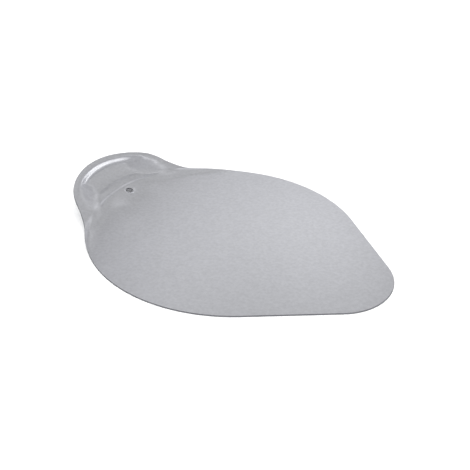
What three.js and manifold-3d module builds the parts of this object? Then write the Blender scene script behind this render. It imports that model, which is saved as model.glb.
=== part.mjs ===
// Cake lifter: one sheet of satin aluminium, cut to outline and pressed to shape.
// Millimetres, +Z up. The blade lies flat with its underside at z = 0 and its tip towards +X.
// The origin is on the underside, at the blade's widest place, on the centre line.
import * as THREE from 'three';
import { mergeVertices } from 'three/addons/utils/BufferGeometryUtils.js';
import Module from 'manifold-3d';

const { degToRad, lerp, smoothstep } = THREE.MathUtils;
const quarterTurn = Math.PI / 2;

// Sheet
const sheetThickness = 1.2;

// Outline seen from above: a chain of arcs and one straight, each running smoothly into the next
const bladeWidth = 254;
const bladeSideRadius = 146;
const tipRadius = 53;
const sideAngle = degToRad(38.6);
const neckWidth = 128.8;
const neckRadius = 103;
const neckAngle = degToRad(23.5);
const handleCornerRadius = 51;
const handleCornerTurn = degToRad(48.2);

// Rise of the handle: the sheet leaves the flat behind the widest place and curves up to the handle's end
const flatBehindWidest = 49;
const handleLift = 18;

// Lip round the handle: a level rim, and a bank that slopes down from it to the handle's floor
const lipHeight = 9.5;
const lipGrowth = 50;
const rimWidth = 4.3;
const bankWidth = 26;

// Thumb pocket: along the handle's end most of the lip's height is a steep wall, which fades out round the
// handle's corners. The turns are measured round the centre of the end's arc, from straight behind it.
const wallHeight = 5.5;
const wallAngle = degToRad(70);
const brimRadius = 1.3;
const footRadius = 4;
const fullWallTurn = degToRad(22);
const wallEndTurn = degToRad(44);

// Low bead pressed across the root of the handle, concentric with the blade: a front slope up to a crest,
// a step down to a terrace, and a last step down to the pocket floor. A share of its height stands above
// the plain rise, and the sheet in front of it and the pocket floor are sunk by the rest. In the middle,
// round the hanging hole, the bead is lower and its front slope is longer.
const crestRadius = 129;
const crestHeight = 1.9;
const crestShare = 0.25;
const crestSlope = 11.5;
const crestStep = 5.5;
const terraceShare = 0.5;
const terraceEdgeRadius = 139;
const terraceStep = 6.5;
const beadFadeAhead = 23.5;
const beadFadeBehind = 11.5;
const middleHeight = 1.4;
const middleSlope = 30;
const middleWidth = 20;
const middleFade = 26;

// Hanging hole in front of the bead, with a dished border
const holeDiameter = 7.2;
const holeToCrest = 5.7;
const dishDiameter = 13;
const dishDepth = 0.6;

// Fineness of the facets: the columns start at the tip's arc and run the length of the sheet to the end's arc
const columnShares = [0, 0.047, 0.1, 0.18, 0.3, 0.46, 0.64, 0.82, 1];
const tipSteps = columnShares.length - 1;
const straightSteps = 5;
const sideSteps = 14;
const rearSteps = 12;
const neckSteps = 20;
const cornerSteps = 10;
const endSteps = tipSteps;
const holeSteps = 32;
const brimShares = [0, 0.5, 1];
const footShares = [0, 0.33, 0.66, 1];
const bankShares = [0.25, 0.5, 0.75, 1];
const cutOverrun = 5;

// Worked out from the sizes above
const footRun = footRadius * Math.sin(wallAngle);
const brimRun = brimRadius * Math.sin(wallAngle);
const bendHeights = (footRadius + brimRadius) * (1 - Math.cos(wallAngle));
const wallRun = footRun + brimRun + (wallHeight - bendHeights) / Math.tan(wallAngle);
const wallInward = rimWidth + wallRun;
const holeX = holeToCrest - crestRadius;

// The point at a distance from a centre, in the direction so many radians from square to the centre line
function reach(centre, distance, angle) {
  return new THREE.Vector2(centre.x + distance * Math.sin(angle), centre.y + distance * Math.cos(angle));
}

// Centres of the outline's arcs on the +Y side. The neck curves the other way, so its radius counts as
// negative.
const sideCentre = new THREE.Vector2(0, bladeWidth / 2 - bladeSideRadius);
const tipOffset = sideCentre.y * Math.cos(sideAngle) + bladeSideRadius - tipRadius;
const tipCentre = new THREE.Vector2(tipOffset / Math.sin(sideAngle), 0);
const neckReach = neckWidth / 2 + neckRadius * Math.cos(neckAngle) - sideCentre.y;
const backAngle = Math.acos(neckReach / (bladeSideRadius + neckRadius));
const bendAngle = Math.asin(flatBehindWidest / bladeSideRadius);
const neckCentre = reach(sideCentre, bladeSideRadius + neckRadius, -backAngle);
const neckStart = reach(sideCentre, bladeSideRadius, -backAngle);
const cornerCentre = reach(neckCentre, -neckRadius - handleCornerRadius, -neckAngle);
const cornerEnd = reach(cornerCentre, handleCornerRadius, -handleCornerTurn);
const endRadius = cornerEnd.y / Math.cos(handleCornerTurn);
const endCentre = reach(cornerEnd, -endRadius, -handleCornerTurn);
const handleEndX = endCentre.x - endRadius;

// Stations along one arc of the outline, each with its place and its outward direction
function arcStations(centre, radius, from, to, steps) {
  return Array.from({ length: steps + 1 }, (_, step) => {
    const angle = lerp(from, to, step / steps);
    return { at: reach(centre, radius, angle), outward: reach(new THREE.Vector2(), 1, angle) };
  });
}

// Stations inside the straight side, without its two ends
function straightStations(from, to) {
  return Array.from({ length: straightSteps - 1 }, (_, step) => ({
    at: from.at.clone().lerp(to.at, (step + 1) / straightSteps),
    outward: from.outward.clone(),
  }));
}

// Half of the outline, from the tip to the handle's end
function halfOutline() {
  const tip = arcStations(tipCentre, tipRadius, quarterTurn, sideAngle, tipSteps);
  const side = arcStations(sideCentre, bladeSideRadius, sideAngle, -bendAngle, sideSteps);
  const rear = arcStations(sideCentre, bladeSideRadius, -bendAngle, -backAngle, rearSteps);
  const neck = arcStations(neckCentre, -neckRadius, -backAngle, -neckAngle, neckSteps);
  const corner = arcStations(cornerCentre, handleCornerRadius, -neckAngle, -handleCornerTurn, cornerSteps);
  const end = arcStations(endCentre, endRadius, -handleCornerTurn, -quarterTurn, endSteps);
  const straight = straightStations(tip[tipSteps], side[0]);
  const back = [rear, neck, corner, end].flatMap((stations) => stations.slice(1));
  return [...tip, ...straight, ...side, ...back];
}

// Height of the sheet's underside along the gentle arc that lifts the handle
function riseAt(x) {
  const bendRun = -flatBehindWidest - handleEndX;
  const bendRadius = (bendRun ** 2 + handleLift ** 2) / (2 * handleLift);
  const behind = Math.max(0, -flatBehindWidest - x);
  return bendRadius - Math.sqrt(bendRadius ** 2 - Math.min(behind, bendRadius) ** 2);
}

// Height of the full wall above the pocket floor, at a distance in from the sheet's edge: level rim, bend,
// straight slope, bend, floor
function wallProfile(inward) {
  const out = wallInward - inward;
  const toBrim = wallRun - out;
  if (out <= 0) return 0;
  if (out < footRun) return footRadius - Math.sqrt(footRadius ** 2 - out ** 2);
  if (toBrim <= 0) return wallHeight;
  if (toBrim < brimRun) return wallHeight - brimRadius + Math.sqrt(brimRadius ** 2 - toBrim ** 2);
  return footRadius * (1 - Math.cos(wallAngle)) + (out - footRun) * Math.tan(wallAngle);
}

// Height of the lip. It grows from nothing at the neck, and where the wall fades out the bank takes its
// place.
function lipAt(x, y, inward) {
  const growth = smoothstep(neckStart.x - x, 0, lipGrowth);
  const turn = Math.atan2(Math.abs(y), endCentre.x - x);
  const wall = growth * (1 - smoothstep(turn, fullWallTurn, wallEndTurn));
  const bank = lipHeight * growth - wallHeight * wall;
  return wallProfile(inward) * wall + bank * (1 - smoothstep(inward, rimWidth, bankWidth));
}

// Height of the bead against the plain rise. It fades out towards the blade's edges.
function beadAt(x, y) {
  const radius = Math.hypot(x, y);
  const aside = smoothstep(Math.abs(y), middleWidth / 2, middleWidth / 2 + middleFade);
  const height = lerp(middleHeight, crestHeight, aside);
  const run = lerp(middleSlope, crestSlope, aside);
  const slope = Math.max(0, Math.min(1, 1 - (crestRadius - radius) / run));
  const crestDrop = (1 - terraceShare) * smoothstep(radius, crestRadius, crestRadius + crestStep);
  const terraceDrop = terraceShare * smoothstep(radius, terraceEdgeRadius, terraceEdgeRadius + terraceStep);
  const fade = x < 0 ? smoothstep(neckStart.x - x, -beadFadeAhead, beadFadeBehind) : 0;
  return height * (slope ** 2 - crestDrop - terraceDrop + crestShare - 1) * fade;
}

// Depth of the dished border round the hanging hole
function dishAt(x, y) {
  const radius = Math.hypot(x - holeX, y);
  return dishDepth * (1 - smoothstep(radius, holeDiameter / 2, dishDiameter / 2));
}

// Height of the pressed sheet's underside. The bead dies away into the lip's wall.
function formedHeight(x, y, inward) {
  const lip = lipAt(x, y, inward);
  const bead = beadAt(x, y) * (1 - lip / lipHeight);
  return riseAt(x) + lip + bead - dishAt(x, y);
}

// Distances in from the edge at which the lip's section changes
function ringDistances() {
  const brim = brimShares.map((share) => rimWidth + brimRadius * Math.sin(share * wallAngle));
  const foot = footShares.map((share) => wallInward - footRadius * Math.sin((1 - share) * wallAngle));
  const bank = bankShares.map((share) => lerp(wallInward, bankWidth, share));
  return [0, ...brim, ...foot, ...bank];
}

// Across the handle each row of facets is an arc concentric with the blade and the bead; the rows straighten
// out where the blade is flat
function rowX(end, y) {
  const radius = end.length();
  const bow = smoothstep(-end.x, flatBehindWidest, -neckStart.x);
  return bow > 0 ? lerp(end.x, -Math.sqrt(radius ** 2 - y ** 2), bow) : end.x;
}

// The sheet's underside as points and triangles that face up: rings along the edge, and rows between them
function underside() {
  const half = halfOutline();
  const last = half.length - 1;
  const loop = [...half, ...half.slice(1, last).reverse().map(({ at, outward }) => ({
    at: new THREE.Vector2(at.x, -at.y),
    outward: new THREE.Vector2(outward.x, -outward.y),
  }))];
  const points = [];
  const triangles = [];
  const addPoint = (x, y, inward) => points.push(new THREE.Vector3(x, y, formedHeight(x, y, inward))) - 1;
  const addQuad = (a, b, c, d) => triangles.push(a, b, c, a, c, d);

  const distances = ringDistances();
  const rings = distances.map((inward) => loop.map(({ at, outward }) => {
    const place = at.clone().addScaledVector(outward, -inward);
    return addPoint(place.x, place.y, inward);
  }));
  for (let ring = 1; ring < rings.length; ring += 1) {
    loop.forEach((_, here) => {
      const next = (here + 1) % loop.length;
      addQuad(rings[ring - 1][here], rings[ring - 1][next], rings[ring][next], rings[ring][here]);
    });
  }

  const inner = rings[rings.length - 1];
  const floorInward = distances[distances.length - 1];
  const mirrored = (station) => (loop.length - station) % loop.length;
  const arcRow = (middle) => Array.from({ length: 2 * tipSteps + 1 }, (_, step) => (
    inner[(middle + tipSteps - step + loop.length) % loop.length]));
  const shares = [...columnShares.slice(1).reverse(), ...columnShares.map((share) => -share)];
  const rows = [arcRow(0)];
  for (let station = tipSteps + 1; station < last - endSteps; station += 1) {
    const end = new THREE.Vector2(points[inner[station]].x, points[inner[station]].y);
    const between = shares.slice(1, -1).map((share) => {
      const y = end.y * share;
      return addPoint(rowX(end, y), y, floorInward);
    });
    rows.push([inner[station], ...between, inner[mirrored(station)]]);
  }
  rows.push(arcRow(last).reverse());
  for (let row = 1; row < rows.length; row += 1) {
    for (let column = 1; column < shares.length; column += 1) {
      addQuad(rows[row - 1][column - 1], rows[row][column - 1], rows[row][column], rows[row - 1][column]);
    }
  }
  return { points, triangles, edge: rings[0] };
}

// The closed sheet: the underside, the top one thickness away square to it, and the cut edge between them
function sheetGeometry() {
  const { points, triangles, edge } = underside();
  const face = new THREE.BufferGeometry().setFromPoints(points);
  face.setIndex(triangles);
  face.computeVertexNormals();
  const normals = face.getAttribute('normal');
  const tops = points.map((point, index) => (
    point.clone().addScaledVector(new THREE.Vector3().fromBufferAttribute(normals, index), sheetThickness)));
  const above = points.length;
  const faces = [];
  for (let corner = 0; corner < triangles.length; corner += 3) {
    const [a, b, c] = triangles.slice(corner, corner + 3);
    faces.push(a, c, b, a + above, b + above, c + above);
  }
  edge.forEach((here, index) => {
    const next = edge[(index + 1) % edge.length];
    faces.push(here, next, next + above, here, next + above, here + above);
  });
  const solid = new THREE.BufferGeometry().setFromPoints([...points, ...tops]);
  solid.setIndex(faces);
  return solid;
}

const wasm = await Module();
wasm.setup();

// A closed three.js shape as a solid that can be cut
function toSolid(geometry) {
  const bare = geometry.clone();
  bare.deleteAttribute('normal');
  bare.deleteAttribute('uv');
  const merged = mergeVertices(bare);
  return new wasm.Manifold(new wasm.Mesh({
    numProp: 3,
    vertProperties: Float32Array.from(merged.getAttribute('position').array),
    triVerts: Uint32Array.from(merged.getIndex().array),
  }));
}

// A solid as a three.js shape again
function toGeometry(solid) {
  const { vertProperties, triVerts } = solid.getMesh();
  const geometry = new THREE.BufferGeometry();
  geometry.setAttribute('position', new THREE.BufferAttribute(vertProperties, 3));
  geometry.setIndex(new THREE.BufferAttribute(triVerts, 1));
  geometry.computeVertexNormals();
  return geometry;
}

// The punch for the hanging hole, upright through the sheet
function holePunch() {
  const height = handleLift + sheetThickness + 2 * cutOverrun;
  const punch = new THREE.CylinderGeometry(holeDiameter / 2, holeDiameter / 2, height, holeSteps);
  punch.rotateX(quarterTurn);
  punch.rotateZ(Math.PI / holeSteps);
  punch.translate(holeX, 0, height / 2 - cutOverrun);
  return punch;
}

const satinAluminium = new THREE.MeshStandardMaterial({ color: 0xb8b9be, roughness: 0.45, metalness: 1 });
const lifterSheet = new THREE.Mesh(
  toGeometry(toSolid(sheetGeometry()).subtract(toSolid(holePunch()))),
  satinAluminium,
);
lifterSheet.name = 'lifter_sheet';

const cakeLifter = new THREE.Group();
cakeLifter.add(lifterSheet);

export default cakeLifter;
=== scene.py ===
"""Cake lifter: one sheet of satin aluminium, cut to outline and pressed to shape, on a pale studio floor.

Sizes are in millimetres up to the point where they go into Blender. The blade's flat underside is at z = 0,
its tip points along +X, and the origin is at its widest place on the centre line.
"""

import math
from collections import namedtuple

import bmesh
import bpy
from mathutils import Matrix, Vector


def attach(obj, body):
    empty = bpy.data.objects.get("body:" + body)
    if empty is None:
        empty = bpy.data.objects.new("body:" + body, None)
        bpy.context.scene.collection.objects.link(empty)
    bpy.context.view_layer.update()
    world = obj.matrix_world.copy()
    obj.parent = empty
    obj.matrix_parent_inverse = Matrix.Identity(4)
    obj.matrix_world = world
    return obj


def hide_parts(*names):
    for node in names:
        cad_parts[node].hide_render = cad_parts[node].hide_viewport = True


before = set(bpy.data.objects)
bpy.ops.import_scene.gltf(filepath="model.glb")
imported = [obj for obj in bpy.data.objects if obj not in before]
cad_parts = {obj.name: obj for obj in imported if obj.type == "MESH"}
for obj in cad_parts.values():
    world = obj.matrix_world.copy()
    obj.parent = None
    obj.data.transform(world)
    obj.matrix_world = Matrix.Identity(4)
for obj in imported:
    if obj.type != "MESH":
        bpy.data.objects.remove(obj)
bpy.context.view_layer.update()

MM = 0.001

# Sheet, with barely rounded cut edges. The mesh's edges that bend more sharply than this are the cut ones.
SHEET_THICKNESS = 1.2
CUT_EDGE_ROUNDING = 0.35
CUT_EDGE_BEND = math.radians(50)

# Outline seen from above: a chain of arcs and one straight, each running smoothly into the next
BLADE_WIDTH = 254.0
BLADE_SIDE_RADIUS = 146.0
TIP_RADIUS = 53.0
SIDE_ANGLE = math.radians(38.6)
NECK_WIDTH = 128.8
NECK_RADIUS = 103.0
NECK_ANGLE = math.radians(23.5)
HANDLE_CORNER_RADIUS = 51.0
HANDLE_CORNER_TURN = math.radians(48.2)

# Rise of the handle
FLAT_BEHIND_WIDEST = 49.0
HANDLE_LIFT = 18.0

# Lip round the handle: a level rim, and a bank that slopes down from it to the floor
LIP_HEIGHT = 9.5
LIP_GROWTH = 50.0
RIM_WIDTH = 4.3
BANK_WIDTH = 26.0

# Thumb pocket: along the handle's end, most of the lip's height is a steep wall. The radii are those of the
# underside.
WALL_HEIGHT = 5.5
WALL_ANGLE = math.radians(70)
BRIM_RADIUS = 1.3
FOOT_RADIUS = 4.0
FULL_WALL_TURN = math.radians(22)
WALL_END_TURN = math.radians(44)

# Bead across the root of the handle, on arcs about the blade's centre: a front slope up to a crest, a step
# down to a terrace, and a last step down to the pocket floor. A share of its height stands above the plain
# rise, and the sheet on both sides of it is sunk by the rest. In the middle, round the hanging hole, it is
# lower and its front slope is longer.
CREST_RADIUS = 129.0
CREST_HEIGHT = 1.9
CREST_SHARE = 0.25
CREST_SLOPE = 11.5
CREST_STEP = 5.5
TERRACE_SHARE = 0.5
TERRACE_EDGE_RADIUS = 139.0
TERRACE_STEP = 6.5
BEAD_FADE_AHEAD = 40.0
BEAD_FADE_BEHIND = 11.5
MIDDLE_HEIGHT = 1.4
MIDDLE_SLOPE = 30.0
MIDDLE_WIDTH = 20.0
MIDDLE_FADE = 26.0

# Hanging hole with its dished border
HOLE_DIAMETER = 7.2
HOLE_TO_CREST = 5.7
DISH_DIAMETER = 13.0
DISH_DEPTH = 0.6

# Finish of the faces. A real satin grain is a fraction of a millimetre wide, too fine to show, so it is
# drawn as coarse as it needs to be. A spread is the part of a noise's range that its tones are spread over.
ALUMINIUM = "#dadbdf"
GRAIN_WIDTH = 2.8
GRAIN_SPREAD = (0.25, 0.75)
GRAIN_TONES = (0.93, 1.07)
GRAIN_DEPTH = 0.04
CLOUD_WIDTH = 16.0
CLOUD_SPREAD = (0.3, 0.7)
SATIN_ROUGHNESS = (0.276, 0.284)

# Finish of the cut edge. Its torn grain is drawn coarser than it is, too.
# The edge's darker grey is partly its sheared finish and partly painted shade on the edge.
EDGE_GREY_AND_PAINTED_SHADE = "#808186"
SHEARED_ROUGHNESS = 0.55
TEAR_WIDTH = 0.8
TEAR_RAGGEDNESS = 0.6
TEAR_DEPTH = 0.05

BUMP_STRENGTH = 0.4

# Camera, fitted to the photograph
CAMERA_PLACE = (364.2, -474.9, 380.4)
CAMERA_TILT_DOWN = math.radians(32.63)
CAMERA_TURN = math.radians(36.28)
CAMERA_FIELD = math.radians(36.0)

# Room that the metal mirrors, in degrees: turns go from +X towards +Y, and heights are above the floor.
# Its tones go by the sine of the height.
WHITE = "#ffffff"
ROOM_TONES = [(0.0, "#dedee0"), (0.6, "#b3b3b5"), (0.68, "#bdbdbf"), (0.76, "#d0d0d2"), (1.0, "#bdbdbf")]

# Lit card behind the object: a round light, cut off below and above
CARD_TURN = 127.3
CARD_SPREAD = 24.0
CARD_LOWER_EDGE = (15.8, 24.4)
CARD_UPPER_EDGE = (39.1, 37.5)
CARD_STRENGTH = 1.6

# Flags take light away in a round patch of the room, and fill cards add some, so that the blade darkens
# towards the handle and its near side
Patch = namedtuple("Patch", "turn height spread strength")
HIGH_FLAG = Patch(turn=98.3, height=54.6, spread=34.9, strength=-0.8)
LEFT_FLAG = Patch(turn=132.4, height=35.6, spread=13.2, strength=-1.0)
LEFT_FILL = Patch(turn=132.8, height=47.7, spread=16.1, strength=0.55)
MIDDLE_FLAG = Patch(turn=122.9, height=31.8, spread=23.3, strength=-0.83)
SIDE_FILL = Patch(turn=137.2, height=27.0, spread=14.6, strength=0.1)
LOW_FILL = Patch(turn=134.9, height=14.6, spread=9.3, strength=1.6)

# White sweep low at the back right, which draws the bright line along the pocket's wall
SWEEP_TURN = 25.0
SWEEP_SPREAD = 72.54
SWEEP_FULL_SPREAD = 53.13
SWEEP_HEIGHTS = (9.0, 2.0)
SWEEP_STRENGTH = 2.2

# Floor, and the plain overhead light that falls on it and not on the metal
FLOOR_RADIUS = 4000.0
FLOOR_COLOUR = "#f6f6f6"
FLOOR_GLOW_SHARE = 0.02
FLOOR_LIGHT = 2.0
FLOOR_LIGHT_HEIGHTS = (15.0, 50.0)


def reach(centre, distance, angle):
    """The point at a distance from a centre. Angle 0 is towards +Y, and angles turn towards +X."""
    return centre + distance * Vector((math.sin(angle), math.cos(angle)))


def blend(a, b, share):
    return a + (b - a) * share


def ease(value, low, high):
    """0 below low, 1 above high, and a smooth change between."""
    share = min(1.0, max(0.0, (value - low) / (high - low)))
    return share * share * (3 - 2 * share)


# Worked out from the sizes above
FOOT_RUN = FOOT_RADIUS * math.sin(WALL_ANGLE)
BRIM_RUN = BRIM_RADIUS * math.sin(WALL_ANGLE)
BEND_HEIGHTS = (FOOT_RADIUS + BRIM_RADIUS) * (1 - math.cos(WALL_ANGLE))
WALL_RUN = FOOT_RUN + BRIM_RUN + (WALL_HEIGHT - BEND_HEIGHTS) / math.tan(WALL_ANGLE)
WALL_INWARD = RIM_WIDTH + WALL_RUN
HOLE_X = HOLE_TO_CREST - CREST_RADIUS

# Centres and meeting points of the outline's arcs on the +Y side
ORIGIN = Vector((0.0, 0.0))
SIDE_CENTRE = Vector((0.0, BLADE_WIDTH / 2 - BLADE_SIDE_RADIUS))
TIP_OFFSET = SIDE_CENTRE.y * math.cos(SIDE_ANGLE) + BLADE_SIDE_RADIUS - TIP_RADIUS
TIP_CENTRE = Vector((TIP_OFFSET / math.sin(SIDE_ANGLE), 0.0))
NECK_REACH = NECK_WIDTH / 2 + NECK_RADIUS * math.cos(NECK_ANGLE) - SIDE_CENTRE.y
BACK_ANGLE = math.acos(NECK_REACH / (BLADE_SIDE_RADIUS + NECK_RADIUS))
BEND_ANGLE = math.asin(FLAT_BEHIND_WIDEST / BLADE_SIDE_RADIUS)
NECK_CENTRE = reach(SIDE_CENTRE, BLADE_SIDE_RADIUS + NECK_RADIUS, -BACK_ANGLE)
NECK_START = reach(SIDE_CENTRE, BLADE_SIDE_RADIUS, -BACK_ANGLE)
CORNER_CENTRE = reach(NECK_CENTRE, -NECK_RADIUS - HANDLE_CORNER_RADIUS, -NECK_ANGLE)
CORNER_END = reach(CORNER_CENTRE, HANDLE_CORNER_RADIUS, -HANDLE_CORNER_TURN)
END_RADIUS = CORNER_END.y / math.cos(HANDLE_CORNER_TURN)
END_CENTRE = reach(CORNER_END, -END_RADIUS, -HANDLE_CORNER_TURN)
HANDLE_END_X = END_CENTRE.x - END_RADIUS

# Mesh: rows across the sheet, from the tip's arc to the end's arc, and columns along it. A row that would
# bulge less than the least bulge is straight. Rings lead from the rows' ends to the sheet's edge.
STRAIGHT_ROWS = 12
SIDE_ROWS = 30
REAR_ROWS = 26
NECK_ROWS = 32
CORNER_ROWS = 14
ROWS = STRAIGHT_ROWS + SIDE_ROWS + REAR_ROWS + NECK_ROWS + CORNER_ROWS
COLUMNS = 72
TIP_BLEND_ROWS = 8
LEAST_BULGE = 0.01
BANK_RINGS = 10
FOOT_RINGS = 7
BRIM_RINGS = 4
RIM_SHARES = (0.75, 0.45, 0.15, 0)
HOLE_PATCH = 7.5
DISH_RINGS = 7
FACE_FINISH = 0
EDGE_FINISH_AND_PAINTED_SHADE = 1


def arc_stations(centre, radius, start, stop, steps):
    """Places on one arc of the outline with their outward directions, without the first."""
    angles = [blend(start, stop, (step + 1) / steps) for step in range(steps)]
    return [(reach(centre, radius, angle), reach(ORIGIN, 1, angle)) for angle in angles]


def side_stations():
    """The +Y side's places and outward directions, one for each row, from the tip to the handle's end."""
    outward = reach(ORIGIN, 1, SIDE_ANGLE)
    tip_end = reach(TIP_CENTRE, TIP_RADIUS, SIDE_ANGLE)
    side_start = reach(SIDE_CENTRE, BLADE_SIDE_RADIUS, SIDE_ANGLE)
    straight = [tip_end.lerp(side_start, row / STRAIGHT_ROWS) for row in range(STRAIGHT_ROWS + 1)]
    return [
        *((place, outward) for place in straight),
        *arc_stations(SIDE_CENTRE, BLADE_SIDE_RADIUS, SIDE_ANGLE, -BEND_ANGLE, SIDE_ROWS),
        *arc_stations(SIDE_CENTRE, BLADE_SIDE_RADIUS, -BEND_ANGLE, -BACK_ANGLE, REAR_ROWS),
        *arc_stations(NECK_CENTRE, -NECK_RADIUS, -BACK_ANGLE, -NECK_ANGLE, NECK_ROWS),
        *arc_stations(CORNER_CENTRE, HANDLE_CORNER_RADIUS, -NECK_ANGLE, -HANDLE_CORNER_TURN, CORNER_ROWS),
    ]


SIDE = side_stations()


def edge_station(row, column):
    """Place and outward direction on the outline for a point of the mesh's border."""
    across = 2 * column / COLUMNS - 1
    if row == 0:
        angle = math.asin(across * math.cos(SIDE_ANGLE))
        outward = Vector((math.cos(angle), math.sin(angle)))
        return TIP_CENTRE + TIP_RADIUS * outward, outward
    if row == ROWS:
        angle = math.asin(across * math.cos(HANDLE_CORNER_TURN))
        outward = Vector((-math.cos(angle), math.sin(angle)))
        return END_CENTRE + END_RADIUS * outward, outward
    place, outward = SIDE[row]
    mirror = Vector((1.0, 1.0 if column else -1.0))
    return place * mirror, outward * mirror


def row_bulge(row, end):
    """How far the middle of a row stands out from its two ends, towards the tip."""
    tip_bulge = (TIP_RADIUS - BANK_WIDTH) * (1 - math.sin(SIDE_ANGLE))
    end_bulge = (END_RADIUS - BANK_WIDTH) * (1 - math.sin(HANDLE_CORNER_TURN))
    if row <= TIP_BLEND_ROWS:
        return tip_bulge * (1 - ease(row, 0, TIP_BLEND_ROWS))
    concentric = end.length + end.x
    bow = ease(-end.x, FLAT_BEHIND_WIDEST, -NECK_START.x)
    last = ease(row, ROWS - CORNER_ROWS - NECK_ROWS / 4, ROWS)
    return -blend(concentric * bow, end_bulge, last)


def floor_place(row, column):
    """Place of a point inside the lip's foot: on an arc through the row's two ends and its middle."""
    place, outward = SIDE[row]
    end = place - outward * BANK_WIDTH
    y = (2 * column / COLUMNS - 1) * end.y
    bulge = row_bulge(row, end)
    if abs(bulge) < LEAST_BULGE:
        return Vector((end.x, y))
    radius = (end.y ** 2 + bulge ** 2) / (2 * abs(bulge))
    sag = radius - math.sqrt(radius ** 2 - y ** 2)
    return Vector((end.x + bulge - math.copysign(sag, bulge), y))


def rise_at(x):
    """Height of the gentle arc that lifts the handle."""
    bend_run = -FLAT_BEHIND_WIDEST - HANDLE_END_X
    bend_radius = (bend_run ** 2 + HANDLE_LIFT ** 2) / (2 * HANDLE_LIFT)
    behind = max(0.0, -FLAT_BEHIND_WIDEST - x)
    return bend_radius - math.sqrt(bend_radius ** 2 - behind ** 2)


def wall_profile(inward):
    """Height of the full wall above the pocket floor: level rim, bend, straight slope, bend, floor."""
    out = WALL_INWARD - inward
    to_brim = WALL_RUN - out
    if out <= 0:
        return 0.0
    if out < FOOT_RUN:
        return FOOT_RADIUS - math.sqrt(FOOT_RADIUS ** 2 - out ** 2)
    if to_brim <= 0:
        return WALL_HEIGHT
    if to_brim < BRIM_RUN:
        return WALL_HEIGHT - BRIM_RADIUS + math.sqrt(BRIM_RADIUS ** 2 - to_brim ** 2)
    return FOOT_RADIUS * (1 - math.cos(WALL_ANGLE)) + (out - FOOT_RUN) * math.tan(WALL_ANGLE)


def lip_at(x, y, inward):
    """Height of the lip: the wall fades out round the handle's corners and the bank takes its place."""
    growth = ease(NECK_START.x - x, 0, LIP_GROWTH)
    turn = math.atan2(abs(y), END_CENTRE.x - x)
    wall = growth * (1 - ease(turn, FULL_WALL_TURN, WALL_END_TURN))
    bank = LIP_HEIGHT * growth - WALL_HEIGHT * wall
    return wall_profile(inward) * wall + bank * (1 - ease(inward, RIM_WIDTH, BANK_WIDTH))


def bead_at(x, y):
    """Height of the bead: a front slope, a step down to a terrace, a step down to the pocket floor."""
    radius = math.hypot(x, y)
    aside = ease(abs(y), MIDDLE_WIDTH / 2, MIDDLE_WIDTH / 2 + MIDDLE_FADE)
    height = blend(MIDDLE_HEIGHT, CREST_HEIGHT, aside)
    run = blend(MIDDLE_SLOPE, CREST_SLOPE, aside)
    slope = min(1.0, max(0.0, 1 - (CREST_RADIUS - radius) / run))
    crest_drop = (1 - TERRACE_SHARE) * ease(radius, CREST_RADIUS, CREST_RADIUS + CREST_STEP)
    terrace_drop = TERRACE_SHARE * ease(radius, TERRACE_EDGE_RADIUS, TERRACE_EDGE_RADIUS + TERRACE_STEP)
    fade = ease(NECK_START.x - x, -BEAD_FADE_AHEAD, BEAD_FADE_BEHIND) if x < 0 else 0.0
    return height * (slope ** 2 - crest_drop - terrace_drop + CREST_SHARE - 1) * fade


def dish_at(x, y):
    """Depth of the dished border round the hanging hole."""
    return DISH_DEPTH * (1 - ease(math.hypot(x - HOLE_X, y), HOLE_DIAMETER / 2, DISH_DIAMETER / 2))


def formed_height(x, y, inward):
    """Height of the pressed sheet's underside. The bead dies away into the lip's wall."""
    lip = lip_at(x, y, inward)
    bead = bead_at(x, y) * (1 - lip / LIP_HEIGHT)
    return rise_at(x) + lip + bead - dish_at(x, y)


def lip_rings():
    """Distances in from the edge of the mesh's rings, from the bank's foot out to the edge."""
    bank = [blend(BANK_WIDTH, WALL_INWARD, step / BANK_RINGS) for step in range(1, BANK_RINGS + 1)]
    foot_turns = [WALL_ANGLE * step / FOOT_RINGS for step in range(1, FOOT_RINGS + 1)]
    foot = [WALL_INWARD - FOOT_RADIUS * math.sin(turn) for turn in foot_turns]
    brim_turns = [WALL_ANGLE * step / BRIM_RINGS for step in range(BRIM_RINGS, -1, -1)]
    brim = [RIM_WIDTH + BRIM_RADIUS * math.sin(turn) for turn in brim_turns]
    rim = [RIM_WIDTH * share for share in RIM_SHARES]
    return [*bank, *foot, blend(foot[-1], brim[0], 0.5), *brim, *rim]


def flat_grid():
    """A flat grid inside the lip's foot. Points keep their row, column and distance in from the edge."""
    sheet = bmesh.new()
    row_of = sheet.verts.layers.int.new("row")
    column_of = sheet.verts.layers.int.new("column")
    inward_of = sheet.verts.layers.float.new("inward")
    bmesh.ops.create_grid(sheet, x_segments=ROWS, y_segments=COLUMNS, size=1)
    for point in sheet.verts:
        point[row_of] = round((1 - point.co.x) / 2 * ROWS)
        point[column_of] = round((1 + point.co.y) / 2 * COLUMNS)
        point[inward_of] = BANK_WIDTH
        point.co.xy = floor_place(point[row_of], point[column_of])
    return sheet


def grown(sheet, edges):
    """The open edges of the new ring of faces that grows from a ring of edges."""
    made = bmesh.ops.extrude_edge_only(sheet, edges=edges)["geom"]
    return [part for part in made if isinstance(part, bmesh.types.BMEdge) and part.is_boundary]


def lay_out_lip(sheet):
    """The grid's border grows outwards ring by ring, to the edge of the sheet."""
    row_of = sheet.verts.layers.int["row"]
    column_of = sheet.verts.layers.int["column"]
    inward_of = sheet.verts.layers.float["inward"]
    border = [edge for edge in sheet.edges if edge.is_boundary]
    for inward in lip_rings():
        border = grown(sheet, border)
        for point in {point for edge in border for point in edge.verts}:
            place, outward = edge_station(point[row_of], point[column_of])
            point[inward_of] = inward
            point.co.xy = place - outward * inward


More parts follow.
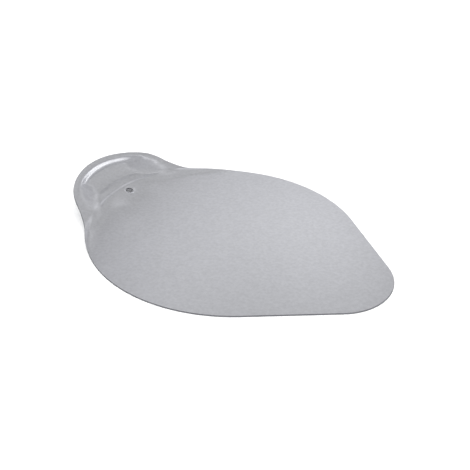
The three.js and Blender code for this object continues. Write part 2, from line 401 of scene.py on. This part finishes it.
def punch_hole(sheet):
    """A patch of the grid gives way to rings that close in on the hanging hole."""
    row_of = sheet.verts.layers.int["row"]
    column_of = sheet.verts.layers.int["column"]
    distances = [abs(floor_place(row, COLUMNS // 2).x - HOLE_X) for row in range(ROWS + 1)]
    hole_row = distances.index(min(distances))
    rows = [row for row, distance in enumerate(distances) if distance < HOLE_PATCH]
    columns = [column for column in range(COLUMNS + 1) if abs(floor_place(hole_row, column).y) < HOLE_PATCH]
    patch = [
        face for face in sheet.faces
        if all(point[row_of] in rows and point[column_of] in columns for point in face.verts)
    ]
    outline = {edge for edge in sheet.edges if edge.is_boundary}
    bmesh.ops.delete(sheet, geom=patch, context="FACES")
    rim = [edge for edge in sheet.edges if edge.is_boundary and edge not in outline]
    hole = Vector((HOLE_X, 0.0))
    for step in range(DISH_RINGS + 1):
        rim = grown(sheet, rim)
        radius = blend(DISH_DIAMETER, HOLE_DIAMETER, step / DISH_RINGS) / 2
        for point in {point for edge in rim for point in edge.verts}:
            point.co.xy = hole + (point.co.xy - hole).normalized() * radius


def press(sheet):
    """The flat sheet takes its heights, and then its thickness above them."""
    inward_of = sheet.verts.layers.float["inward"]
    for point in sheet.verts:
        point.co.z = formed_height(point.co.x, point.co.y, point[inward_of])
    bmesh.ops.recalc_face_normals(sheet, faces=sheet.faces)
    if sum(face.normal.z for face in sheet.faces) > 0:
        bmesh.ops.reverse_faces(sheet, faces=sheet.faces)
    bmesh.ops.solidify(sheet, geom=sheet.faces[:], thickness=SHEET_THICKNESS)


def round_cut_edges(sheet):
    """The cut edges are barely rounded. They and the walls between them get a finish of their own, greyer
    partly as painted shade.
    """
    cut = [edge for edge in sheet.edges if edge.calc_face_angle(0) > CUT_EDGE_BEND]
    corners = set(cut)
    for face in sheet.faces:
        face.smooth = True
        is_wall = len(corners.intersection(face.edges)) > 1
        face.material_index = EDGE_FINISH_AND_PAINTED_SHADE if is_wall else FACE_FINISH
    rounded = bmesh.ops.bevel(
        sheet, geom=cut, offset=CUT_EDGE_ROUNDING, offset_type="OFFSET",
        segments=2, profile=0.5, affect="EDGES", material=-1, clamp_overlap=True,
    )["faces"]
    for face in rounded:
        face.smooth = True
        face.material_index = EDGE_FINISH_AND_PAINTED_SHADE
    for edge in sheet.edges:
        edge.smooth = len({face.material_index for face in edge.link_faces}) == 1


def pressed_sheet():
    """The whole lifter as one closed mesh."""
    sheet = flat_grid()
    lay_out_lip(sheet)
    punch_hole(sheet)
    press(sheet)
    round_cut_edges(sheet)
    bmesh.ops.scale(sheet, vec=(MM, MM, MM), verts=sheet.verts)
    mesh = bpy.data.meshes.new("pressed sheet")
    sheet.to_mesh(mesh)
    sheet.free()
    return mesh


def linear(hex_colour):
    """An sRGB hex value as a linear colour."""
    parts = [int(hex_colour[at:at + 2], 16) / 255 for at in (1, 3, 5)]
    return [*(part / 12.92 if part <= 0.04045 else ((part + 0.055) / 1.055) ** 2.4 for part in parts), 1.0]


def add_node(tree, kind, settings=None, links=None):
    """One shader node, with its settings, its sockets' values and what feeds them."""
    node = tree.nodes.new(kind)
    for name, value in (settings or {}).items():
        setattr(node, name, value)
    for name, source in (links or {}).items():
        socket = node.inputs[name]
        if isinstance(source, bpy.types.NodeSocket):
            tree.links.new(source, socket)
        else:
            socket.default_value = source
    return node


def new_material(name):
    material = bpy.data.materials.new(name)
    material.use_nodes = True
    material.node_tree.nodes.clear()
    return material, material.node_tree


def satin_aluminium():
    """Rolled aluminium with a satin finish: a soft sheen, a fine even grain and a faintly clouded gloss."""
    material, tree = new_material("satin aluminium sheet")
    place = add_node(tree, "ShaderNodeTexCoord").outputs["Object"]
    grain = add_node(tree, "ShaderNodeTexNoise", links={"Vector": place, "Scale": 1 / (GRAIN_WIDTH * MM)})
    clouds = add_node(tree, "ShaderNodeTexNoise", links={"Vector": place, "Scale": 1 / (CLOUD_WIDTH * MM)})
    gloss = add_node(tree, "ShaderNodeMapRange", links={
        "Value": clouds.outputs["Fac"], "From Min": CLOUD_SPREAD[0], "From Max": CLOUD_SPREAD[1],
        "To Min": SATIN_ROUGHNESS[0], "To Max": SATIN_ROUGHNESS[1]})
    bump = add_node(tree, "ShaderNodeBump", links={
        "Height": grain.outputs["Fac"], "Strength": BUMP_STRENGTH, "Distance": GRAIN_DEPTH * MM})
    flecks = add_node(tree, "ShaderNodeMapRange", links={
        "Value": grain.outputs["Fac"], "From Min": GRAIN_SPREAD[0], "From Max": GRAIN_SPREAD[1],
        "To Min": GRAIN_TONES[0], "To Max": GRAIN_TONES[1]})
    tone = add_node(tree, "ShaderNodeVectorMath", {"operation": "SCALE"}, {
        0: linear(ALUMINIUM)[:3], "Scale": flecks.outputs["Result"]})
    metal = add_node(tree, "ShaderNodeBsdfPrincipled", links={
        "Base Color": tone.outputs["Vector"], "Metallic": 1.0,
        "Roughness": gloss.outputs["Result"], "Normal": bump.outputs["Normal"]})
    add_node(tree, "ShaderNodeOutputMaterial", links={"Surface": metal.outputs["BSDF"]})
    return material


def sheared_edge_and_painted_shade():
    """The cut edge of the sheet: sheared and tumbled, so rougher than its faces, and greyer, partly as
    painted shade.
    """
    material, tree = new_material("sheared aluminium edge and painted shade")
    place = add_node(tree, "ShaderNodeTexCoord").outputs["Object"]
    tearing = add_node(tree, "ShaderNodeTexNoise", links={
        "Vector": place, "Scale": 1 / (TEAR_WIDTH * MM), "Roughness": TEAR_RAGGEDNESS})
    bump = add_node(tree, "ShaderNodeBump", links={
        "Height": tearing.outputs["Fac"], "Strength": BUMP_STRENGTH, "Distance": TEAR_DEPTH * MM})
    # The darker base colour is partly the sheared finish and partly painted shade on the cut edge.
    metal = add_node(tree, "ShaderNodeBsdfPrincipled", links={
        "Base Color": linear(EDGE_GREY_AND_PAINTED_SHADE), "Metallic": 1.0,
        "Roughness": SHEARED_ROUGHNESS, "Normal": bump.outputs["Normal"]})
    add_node(tree, "ShaderNodeOutputMaterial", links={"Surface": metal.outputs["BSDF"]})
    return material


def seen_rays(tree):
    """1 for rays that show a thing, straight or in metal and glass, and 0 for those that carry its light."""
    rays = add_node(tree, "ShaderNodeLightPath").outputs
    seen = rays["Is Camera Ray"]
    for kind in ("Is Glossy Ray", "Is Transmission Ray"):
        either = add_node(tree, "ShaderNodeMath", {"operation": "MAXIMUM"}, {0: seen, 1: rays[kind]})
        seen = either.outputs[0]
    return seen


def studio_floor():
    """A wide floor of pale paper that keeps the object's soft shadow."""
    material, tree = new_material("pale studio floor")
    paper = add_node(tree, "ShaderNodeBsdfDiffuse", links={"Color": linear(FLOOR_COLOUR)})
    glow = add_node(tree, "ShaderNodeEmission", links={"Color": linear(WHITE)})
    share = add_node(tree, "ShaderNodeMath", {"operation": "MULTIPLY"}, {
        0: seen_rays(tree), 1: FLOOR_GLOW_SHARE})
    mixed = add_node(tree, "ShaderNodeMixShader", links={
        0: share.outputs[0], 1: paper.outputs["BSDF"], 2: glow.outputs["Emission"]})
    add_node(tree, "ShaderNodeOutputMaterial", links={"Surface": mixed.outputs["Shader"]})

    disc = bmesh.new()
    bmesh.ops.create_circle(disc, cap_ends=True, segments=96, radius=FLOOR_RADIUS * MM)
    mesh = bpy.data.meshes.new("studio floor")
    disc.to_mesh(mesh)
    disc.free()
    floor = bpy.data.objects.new("studio floor", mesh)
    mesh.materials.append(material)
    bpy.context.scene.collection.objects.link(floor)


def direction(turn, height):
    """The direction at a compass turn from +X and a height angle, in degrees."""
    turn, height = math.radians(turn), math.radians(height)
    return Vector((math.cos(height) * math.cos(turn), math.cos(height) * math.sin(turn), math.sin(height)))


def patch_share(tree, place, middle, spread, full_spread=0.0):
    """0 outside a round patch of the room, and an eased rise to 1 at its middle or at its full part."""
    nearness = add_node(tree, "ShaderNodeVectorMath", {"operation": "DOT_PRODUCT"}, {0: place, 1: middle})
    return add_node(tree, "ShaderNodeMapRange", {"interpolation_type": "SMOOTHSTEP"}, {
        "Value": nearness.outputs["Value"], "From Min": math.cos(math.radians(spread)),
        "From Max": math.cos(math.radians(full_spread))}).outputs["Result"]


def studio_surroundings():
    """The room that the metal mirrors, and the plain overhead light that the floor gets in its place."""
    world = bpy.data.worlds.new("studio")
    world.use_nodes = True
    tree = world.node_tree
    tree.nodes.clear()
    place = add_node(tree, "ShaderNodeTexCoord").outputs["Generated"]
    up = add_node(tree, "ShaderNodeSeparateXYZ", links={"Vector": place}).outputs["Z"]
    ramp = add_node(tree, "ShaderNodeValToRGB", links={"Fac": up})
    stops = ramp.color_ramp.elements
    while len(stops) < len(ROOM_TONES):
        stops.new(1.0)
    for stop, (height, colour) in zip(stops, ROOM_TONES):
        stop.position = height
        stop.color = linear(colour)

    above_foot, below_top, below_sweep, overhead = (
        add_node(tree, "ShaderNodeMapRange", {"interpolation_type": "SMOOTHSTEP"}, {
            "Value": up, "From Min": math.sin(math.radians(start)), "From Max": math.sin(math.radians(full)),
        }).outputs["Result"]
        for start, full in (CARD_LOWER_EDGE, CARD_UPPER_EDGE, SWEEP_HEIGHTS, FLOOR_LIGHT_HEIGHTS)
    )

    # The card, and then the flags and fill cards, each add their strength to a plain 1
    card_height = sum(CARD_LOWER_EDGE + CARD_UPPER_EDGE) / 4
    card_light = patch_share(tree, place, direction(CARD_TURN, card_height), CARD_SPREAD)
    card_edges = add_node(tree, "ShaderNodeMath", {"operation": "MULTIPLY"}, {0: above_foot, 1: below_top})
    card = add_node(tree, "ShaderNodeMath", {"operation": "MULTIPLY"}, {
        0: card_light, 1: card_edges.outputs[0]})
    light = add_node(tree, "ShaderNodeMath", {"operation": "MULTIPLY_ADD"}, {
        0: card.outputs[0], 1: CARD_STRENGTH, 2: 1.0})
    for patch in (HIGH_FLAG, LEFT_FLAG, LEFT_FILL, MIDDLE_FLAG, SIDE_FILL, LOW_FILL):
        share = patch_share(tree, place, direction(patch.turn, patch.height), patch.spread)
        light = add_node(tree, "ShaderNodeMath", {"operation": "MULTIPLY_ADD"}, {
            0: share, 1: patch.strength, 2: light.outputs[0]})
    room = add_node(tree, "ShaderNodeBackground", links={
        "Color": ramp.outputs["Color"], "Strength": light.outputs[0]})

    sweep_light = patch_share(tree, place, direction(SWEEP_TURN, 0), SWEEP_SPREAD, SWEEP_FULL_SPREAD)
    sweep = add_node(tree, "ShaderNodeMath", {"operation": "MULTIPLY"}, {0: below_sweep, 1: sweep_light})
    white = add_node(tree, "ShaderNodeBackground", links={
        "Color": linear(WHITE), "Strength": SWEEP_STRENGTH})
    mirrored = add_node(tree, "ShaderNodeMixShader", links={
        0: sweep.outputs[0], 1: room.outputs["Background"], 2: white.outputs["Background"]})

    strength = add_node(tree, "ShaderNodeMath", {"operation": "MULTIPLY"}, {0: overhead, 1: FLOOR_LIGHT})
    plain = add_node(tree, "ShaderNodeBackground", links={
        "Color": linear(WHITE), "Strength": strength.outputs[0]})
    rays = add_node(tree, "ShaderNodeLightPath").outputs
    mixed = add_node(tree, "ShaderNodeMixShader", links={
        0: rays["Is Diffuse Ray"], 1: mirrored.outputs["Shader"], 2: plain.outputs["Background"]})
    add_node(tree, "ShaderNodeOutputWorld", links={"Surface": mixed.outputs["Shader"]})
    bpy.context.scene.world = world


def softbox(name, turn, height, distance, size, power, aim=(0.0, 0.0, 0.0)):
    """A round softbox, out of the camera's sight, that faces a point from a turn, a height and a distance."""
    lamp = bpy.data.lights.new(name, "AREA")
    lamp.shape = "DISK"
    lamp.size = size * MM
    lamp.energy = power
    box = bpy.data.objects.new(name, lamp)
    way = direction(turn, height)
    box.location = (Vector(aim) + way * distance) * MM
    box.rotation_euler = way.to_track_quat("Z", "Y").to_euler()
    box.visible_camera = False
    bpy.context.scene.collection.objects.link(box)


def photograph_camera():
    lens = bpy.data.cameras.new("camera")
    lens.sensor_fit = "HORIZONTAL"
    lens.angle = CAMERA_FIELD
    camera = bpy.data.objects.new("camera", lens)
    camera.location = Vector(CAMERA_PLACE) * MM
    camera.rotation_euler = (math.radians(90) - CAMERA_TILT_DOWN, 0.0, CAMERA_TURN)
    bpy.context.scene.collection.objects.link(camera)
    bpy.context.scene.camera = camera


sheet = bpy.data.objects.new("pressed_lifter_sheet", pressed_sheet())
sheet.data.materials.append(satin_aluminium())
sheet.data.materials.append(sheared_edge_and_painted_shade())
bpy.context.scene.collection.objects.link(sheet)
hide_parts("lifter_sheet")
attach(sheet, "root")

studio_floor()
studio_surroundings()
photograph_camera()

# The softbox gives the blade its broad sheen. The top lamp puts small lights in the pocket's far corner,
# and the bead lamp, which is small and close, lights the edge of the bead.
softbox("sheen softbox", turn=113.7, height=50.4, distance=880, size=776, power=0.67)
softbox("top lamp", turn=70, height=71, distance=1200, size=50, power=0.11)
softbox("bead lamp", turn=136, height=27, distance=220, size=44, power=0.0021, aim=(-130, 0, 9))
bpy.context.scene.view_settings.view_transform = "Standard"
